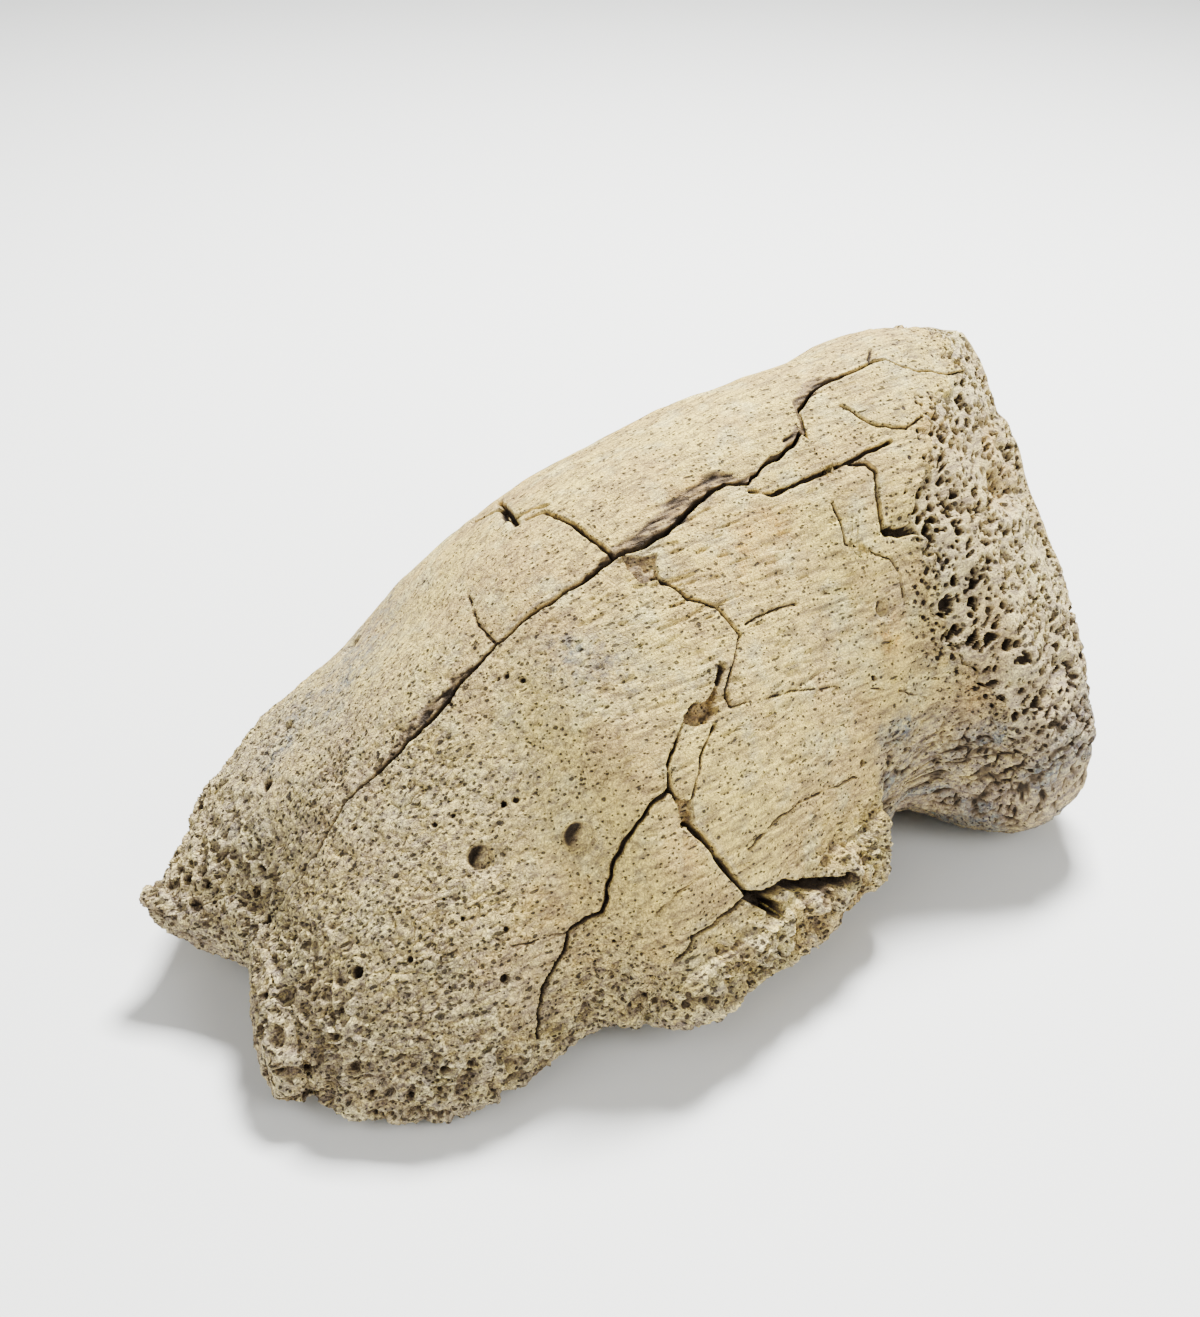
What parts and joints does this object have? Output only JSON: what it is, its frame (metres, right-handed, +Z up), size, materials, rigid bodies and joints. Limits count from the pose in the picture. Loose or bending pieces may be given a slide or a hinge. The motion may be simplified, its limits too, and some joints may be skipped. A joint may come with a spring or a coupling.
{
  "type": "fossil hadrosaur toe bone",
  "caption": "Fossil hoof core of a duck-billed dinosaur's toe: a broad wedge from a worn spongy joint end to a notched tip, lying on its sole.",
  "frame": {"origin": "middle of the bone seen from above, on the ground that it rests on", "axes": "+X towards the joint end, -X towards the tip, -Y towards the flank that the picture shows, +Z up"},
  "size_m": [0.1168, 0.0747, 0.0592],
  "materials": {
    "fossil_bone": "matte, porous, cream to grey-brown mineral-filled bone"
  },
  "bodies": {
    "root": {"toe_bone": "fossil_bone"}
  },
  "joints": []
}
